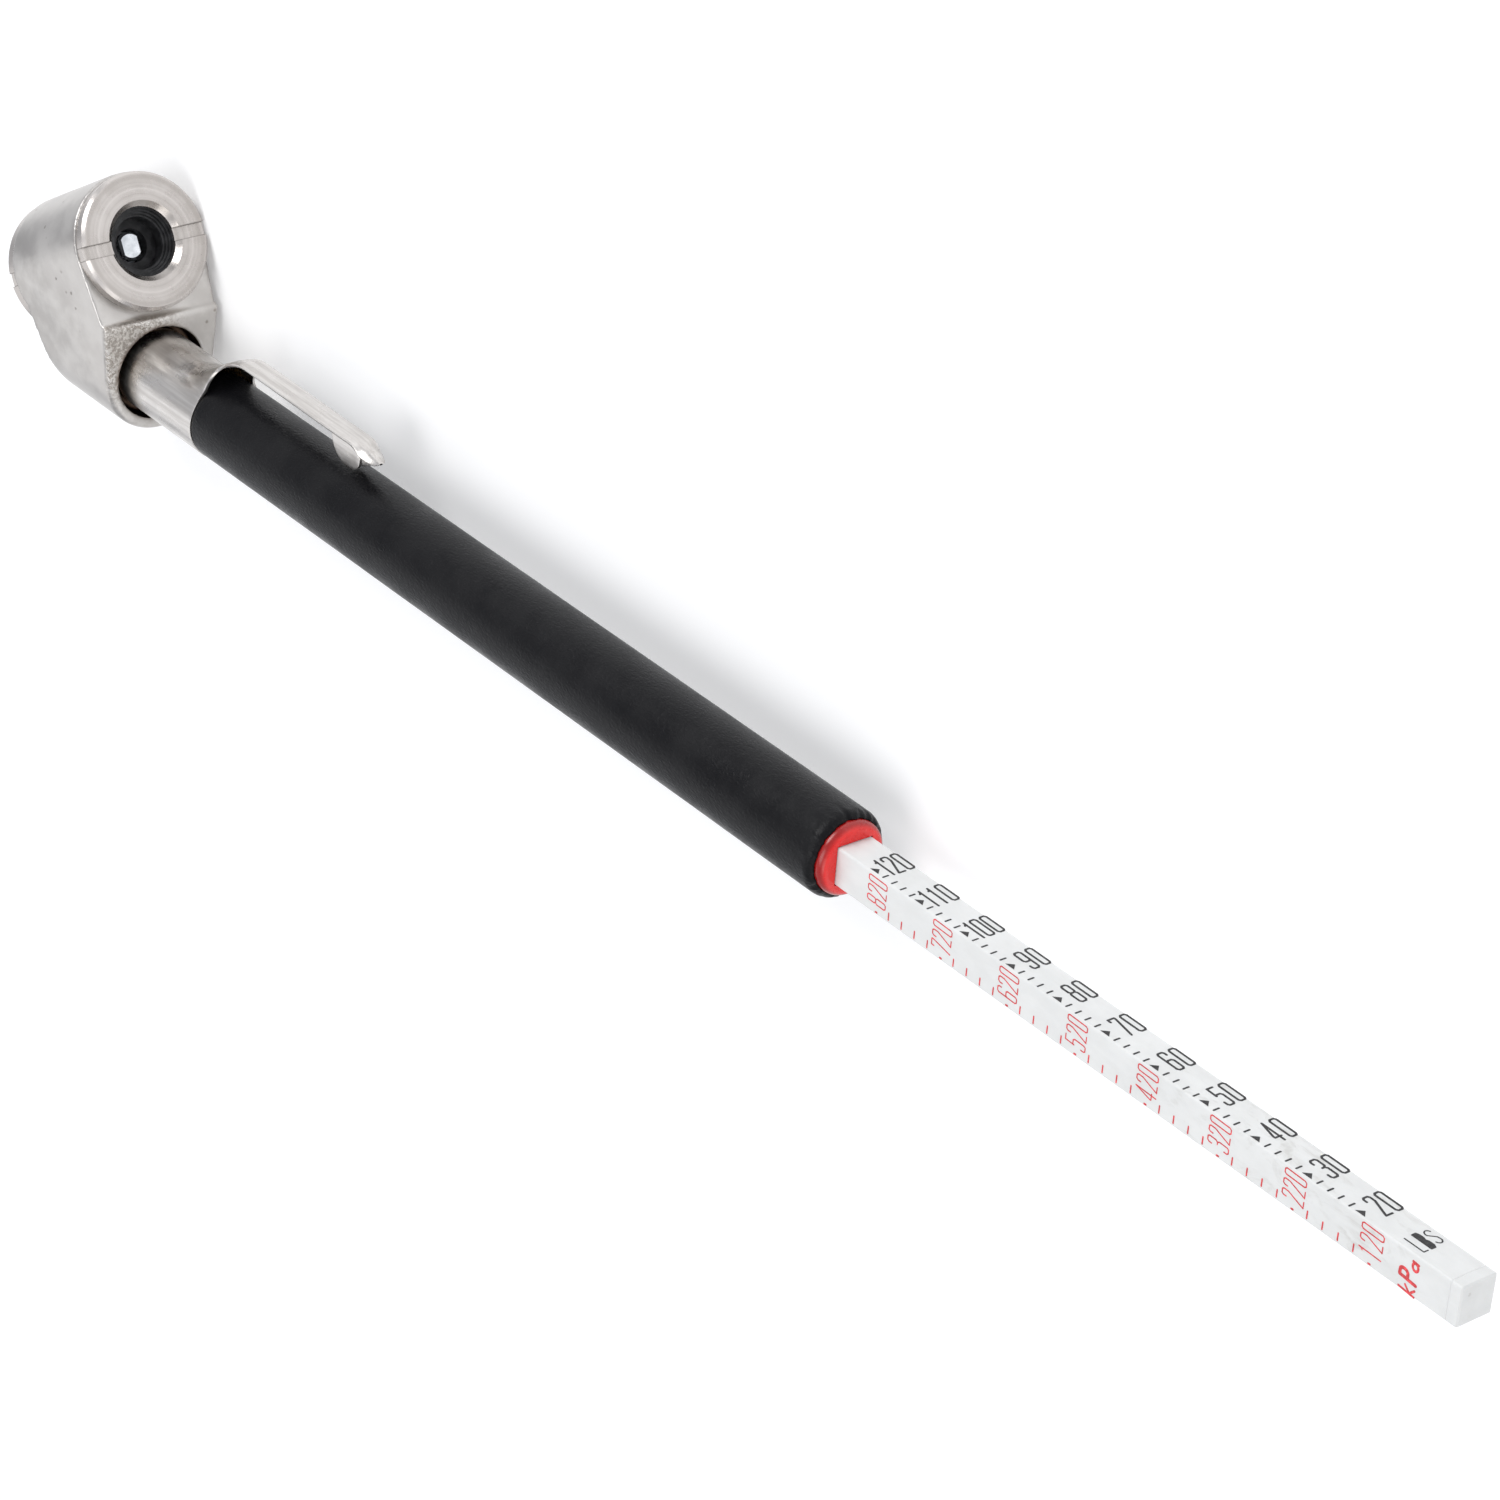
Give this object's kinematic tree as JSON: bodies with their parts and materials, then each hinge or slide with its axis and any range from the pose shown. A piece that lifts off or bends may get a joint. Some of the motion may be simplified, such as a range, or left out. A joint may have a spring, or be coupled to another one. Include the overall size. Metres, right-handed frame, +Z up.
{
  "type": "tire pressure gauge",
  "caption": "Pencil tire pressure gauge with a two-ended chuck head, a pocket clip, a sleeved barrel and a square indicator bar that slides out.",
  "frame": {"origin": "under the middle of the object, at its lowest point, with the indicator bar drawn out", "axes": "+X along the barrel from the head to the tip of the indicator bar, +Y to the chuck side of the head where the pocket clip is, +Z up, square to the flat sides of the head"},
  "size_m": [0.3086, 0.0378, 0.0216],
  "materials": {
    "cast_nickel": "nickel-plated die casting, satin",
    "turned_nickel": "turned, nickel-plated",
    "seal_rubber": "moulded rubber",
    "core_metal": "turned aluminium",
    "clip_steel": "bright pressed sheet",
    "sleeve_vinyl": "grained soft vinyl",
    "bushing_red": "glossy moulded plastic",
    "bar_nylon": "white nylon with printed scales",
    "tube_brass": "drawn tube",
    "spring_steel": "spring wire",
    "piston_brass": "turned brass"
  },
  "bodies": {
    "gauge": {"head_casting": "cast_nickel", "front_retainer_ring": "turned_nickel", "rear_retainer_ring": "turned_nickel", "front_seal": "seal_rubber", "rear_seal": "seal_rubber", "barrel_gasket": "seal_rubber", "barrel_tube": "tube_brass", "pocket_clip": "clip_steel", "grip_sleeve": "sleeve_vinyl", "end_bushing": "bushing_red", "spring_washer": "spring_steel", "calibrated_spring": "spring_steel"},
    "bar": {"indicator_bar": "bar_nylon", "bar_tip_plug": "bar_nylon", "bar_stop": "piston_brass"},
    "piston": {"piston_body": "piston_brass", "piston_cup": "seal_rubber", "cup_washer": "piston_brass", "piston_screw": "piston_brass"},
    "core": {"deflator_core": "core_metal"}
  },
  "joints": [
    {"name": "piston_slide", "type": "slide", "parent": "gauge", "child": "piston", "axis": [1, 0, 0], "range_m": [-0.1105, 0], "deforming": ["calibrated_spring"]},
    {"name": "bar_slide", "type": "slide", "parent": "gauge", "child": "bar", "axis": [1, 0, 0], "range_m": [-0.1105, 0]},
    {"name": "deflator_slide", "type": "slide", "parent": "gauge", "child": "core", "axis": [0.8599, 0.5105, 0], "range_m": [-0.0008, 0.0008]}
  ],
  "couplings": [
    {"joint": "bar_slide", "follows": "piston_slide", "ratio": 1}
  ]
}
